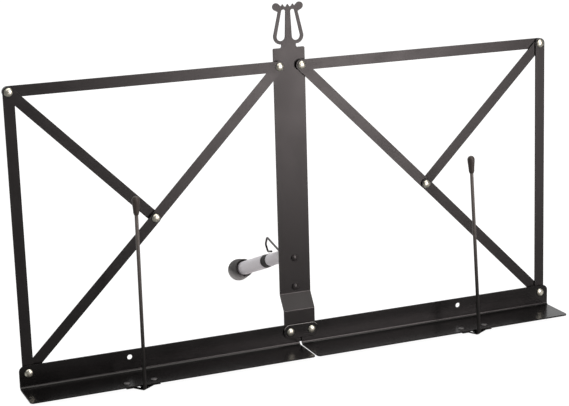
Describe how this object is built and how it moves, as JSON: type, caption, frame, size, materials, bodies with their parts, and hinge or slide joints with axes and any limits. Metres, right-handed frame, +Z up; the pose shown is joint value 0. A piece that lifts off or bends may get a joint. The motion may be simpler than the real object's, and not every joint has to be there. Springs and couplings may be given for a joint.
{
  "type": "music stand",
  "caption": "Folding table-top music stand: strip linkage wings, bent page ledges, wire page holders, lyre finial, telescoping rear leg with rubber foot.",
  "frame": {"origin": "middle of the line where the ledges' heel rests on the table", "axes": "+X to the reader's right along the ledges, +Y back towards the leg, +Z up from the table"},
  "size_m": [0.488, 0.1972, 0.2878],
  "materials": {
    "black_paint": "satin gloss black enamel",
    "nickel_rivet": "bright nickel plate",
    "steel_rivet": "dull steel",
    "black_rivet": "gloss black enamel",
    "black_wire": "satin black enamel",
    "black_plastic": "satin black",
    "zinc_steel": "zinc plate",
    "silver_tube": "satin silver plate",
    "bright_wire": "bright zinc",
    "rubber": "matt grey-black"
  },
  "bodies": {
    "stand": {"centre_bar": "black_paint", "bridge_plate": "black_paint", "top_pivot_rivets": "nickel_rivet", "ledge_pivot_rivets": "nickel_rivet", "leg_bracket": "zinc_steel", "leg_bracket_rivets": "black_rivet", "leg_hinge_pin": "zinc_steel"},
    "left_ledge": {"left_ledge": "black_paint", "left_ledge_end_rivet": "nickel_rivet", "left_holder_clip": "black_paint", "left_holder_clip_rivets": "steel_rivet"},
    "left_top_arm": {"left_top_arm": "black_paint", "left_corner_rivet": "nickel_rivet"},
    "left_upright": {"left_upright": "black_paint"},
    "left_brace": {"left_brace": "black_paint"},
    "left_upper_diagonal": {"left_upper_diagonal": "black_paint", "left_middle_rivet_tail": "nickel_rivet"},
    "left_lower_diagonal": {"left_lower_diagonal": "black_paint", "left_middle_rivet_head": "nickel_rivet"},
    "left_page_holder": {"left_page_holder": "black_wire", "left_holder_tip": "black_plastic"},
    "right_ledge": {"right_ledge": "black_paint", "right_ledge_end_rivet": "nickel_rivet", "right_holder_clip": "black_paint", "right_holder_clip_rivets": "steel_rivet"},
    "right_top_arm": {"right_top_arm": "black_paint", "right_corner_rivet": "nickel_rivet"},
    "right_upright": {"right_upright": "black_paint"},
    "right_brace": {"right_brace": "black_paint"},
    "right_upper_diagonal": {"right_upper_diagonal": "black_paint", "right_middle_rivet_tail": "nickel_rivet"},
    "right_lower_diagonal": {"right_lower_diagonal": "black_paint", "right_middle_rivet_head": "nickel_rivet"},
    "right_page_holder": {"right_page_holder": "black_wire", "right_holder_tip": "black_plastic"},
    "leg_inner": {"leg_inner_tube": "silver_tube"},
    "leg_outer": {"leg_outer_tube": "silver_tube", "leg_bush": "black_plastic", "rubber_foot": "rubber"},
    "leg_latch": {"leg_latch": "bright_wire"}
  },
  "joints": [
    {"name": "left_fold", "type": "hinge", "parent": "stand", "child": "left_ledge", "pos_m": [-0.0098, 0.00332, 0.01305], "axis": [0, 0.9913, -0.1313], "range_deg": [0, 90]},
    {"name": "left_top_arm_swing", "type": "hinge", "parent": "stand", "child": "left_top_arm", "pos_m": [-0.0098, 0.04229, 0.23637], "axis": [0, 0.9913, -0.1313], "range_deg": [0, 90]},
    {"name": "left_upper_diagonal_swing", "type": "hinge", "parent": "stand", "child": "left_upper_diagonal", "pos_m": [-0.0098, 0.04229, 0.23637], "axis": [0, 0.9913, -0.1313], "range_deg": [-45, 0]},
    {"name": "left_lower_diagonal_swing", "type": "hinge", "parent": "left_ledge", "child": "left_lower_diagonal", "pos_m": [-0.2363, 0.00451, 0.01289], "axis": [0, 0.9913, -0.1313], "range_deg": [0, 45]},
    {"name": "left_upright_swing", "type": "hinge", "parent": "left_top_arm", "child": "left_upright", "pos_m": [-0.2363, 0.03971, 0.23671], "axis": [0, 0.9913, -0.1313], "range_deg": [-90, 0]},
    {"name": "left_brace_swing", "type": "hinge", "parent": "left_top_arm", "child": "left_brace", "pos_m": [-0.2363, 0.03971, 0.23671], "axis": [0, 0.9913, -0.1313], "range_deg": [-45, 0]},
    {"name": "left_holder_swing", "type": "hinge", "parent": "left_ledge", "child": "left_page_holder", "pos_m": [-0.152, -0.02521, 0.00175], "axis": [0, -0.9913, 0.1313], "range_deg": [-60, 90]},
    {"name": "right_fold", "type": "hinge", "parent": "stand", "child": "right_ledge", "pos_m": [0.0098, 0.00332, 0.01305], "axis": [0, -0.9913, 0.1313], "range_deg": [0, 90]},
    {"name": "right_top_arm_swing", "type": "hinge", "parent": "stand", "child": "right_top_arm", "pos_m": [0.0098, 0.04229, 0.23637], "axis": [0, -0.9913, 0.1313], "range_deg": [0, 90]},
    {"name": "right_upper_diagonal_swing", "type": "hinge", "parent": "stand", "child": "right_upper_diagonal", "pos_m": [0.0098, 0.04229, 0.23637], "axis": [0, -0.9913, 0.1313], "range_deg": [-45, 0]},
    {"name": "right_lower_diagonal_swing", "type": "hinge", "parent": "right_ledge", "child": "right_lower_diagonal", "pos_m": [0.2363, 0.00451, 0.01289], "axis": [0, -0.9913, 0.1313], "range_deg": [0, 45]},
    {"name": "right_upright_swing", "type": "hinge", "parent": "right_top_arm", "child": "right_upright", "pos_m": [0.2363, 0.03971, 0.23671], "axis": [0, -0.9913, 0.1313], "range_deg": [-90, 0]},
    {"name": "right_brace_swing", "type": "hinge", "parent": "right_top_arm", "child": "right_brace", "pos_m": [0.2363, 0.03971, 0.23671], "axis": [0, -0.9913, 0.1313], "range_deg": [-45, 0]},
    {"name": "right_holder_swing", "type": "hinge", "parent": "right_ledge", "child": "right_page_holder", "pos_m": [0.152, -0.02521, 0.00175], "axis": [0, 0.9913, -0.1313], "range_deg": [-60, 90]},
    {"name": "leg_fold", "type": "hinge", "parent": "stand", "child": "leg_inner", "pos_m": [0, 0.03257, 0.07162], "axis": [1, 0, 0], "range_deg": [0, 109]},
    {"name": "leg_slide", "type": "slide", "parent": "leg_inner", "child": "leg_outer", "axis": [0, 0.8844, -0.4668], "range_m": [-0.02, 0.03]},
    {"name": "latch_swing", "type": "hinge", "parent": "stand", "child": "leg_latch", "pos_m": [0, 0.03257, 0.07162], "axis": [1, 0, 0], "range_deg": [0, 70]}
  ],
  "couplings": [
    {"joint": "left_top_arm_swing", "follows": "left_fold", "ratio": 1},
    {"joint": "left_upper_diagonal_swing", "follows": "left_fold", "ratio": -0.5},
    {"joint": "left_lower_diagonal_swing", "follows": "left_fold", "ratio": 0.5},
    {"joint": "left_upright_swing", "follows": "left_fold", "ratio": -1},
    {"joint": "left_brace_swing", "follows": "left_fold", "ratio": -0.5},
    {"joint": "right_top_arm_swing", "follows": "right_fold", "ratio": 1},
    {"joint": "right_upper_diagonal_swing", "follows": "right_fold", "ratio": -0.5},
    {"joint": "right_lower_diagonal_swing", "follows": "right_fold", "ratio": 0.5},
    {"joint": "right_upright_swing", "follows": "right_fold", "ratio": -1},
    {"joint": "right_brace_swing", "follows": "right_fold", "ratio": -0.5}
  ]
}
